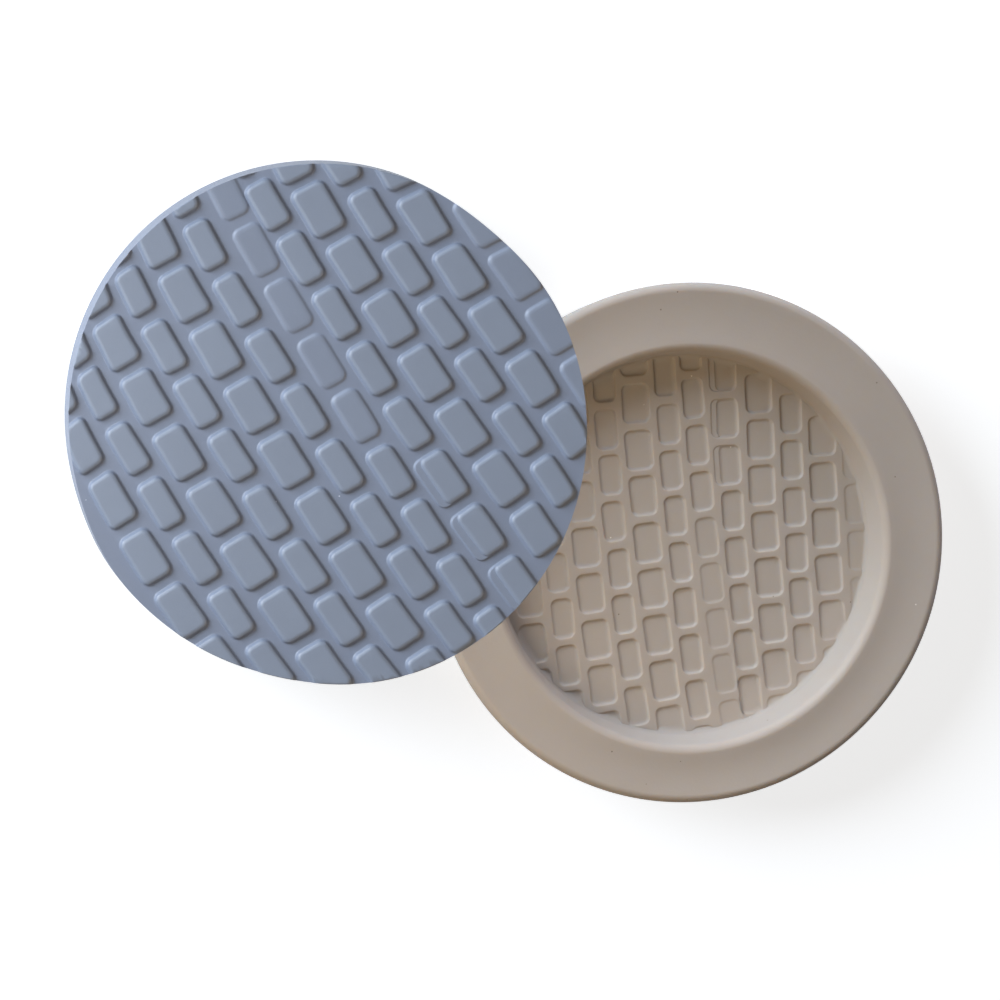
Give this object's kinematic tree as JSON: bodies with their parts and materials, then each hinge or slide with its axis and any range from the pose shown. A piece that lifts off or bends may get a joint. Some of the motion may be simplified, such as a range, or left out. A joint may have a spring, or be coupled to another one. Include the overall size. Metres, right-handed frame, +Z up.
{
  "type": "silicone mold",
  "caption": "Round open silicone mould with a cobbled cavity floor, and a matte casting of the same cobbles leaning on its rim.",
  "frame": {"origin": "centre of the mould's flat base, on the table", "axes": "+Z up out of the cavity; the casting leans on the rim on the -X side, a little towards +Y"},
  "size_m": [0.1399, 0.1025, 0.02],
  "materials": {
    "silicone": "matte cast silicone, beige",
    "cast_resin": "matte, blue-grey, as it left a mould"
  },
  "bodies": {
    "mould": {"silicone_mould": "silicone"},
    "cast": {"cast_plate": "cast_resin"}
  },
  "joints": [
    {"name": "cast_lift", "type": "slide", "parent": "mould", "child": "cast", "axis": [0, 0, 1], "range_m": [0, 0.06]}
  ]
}
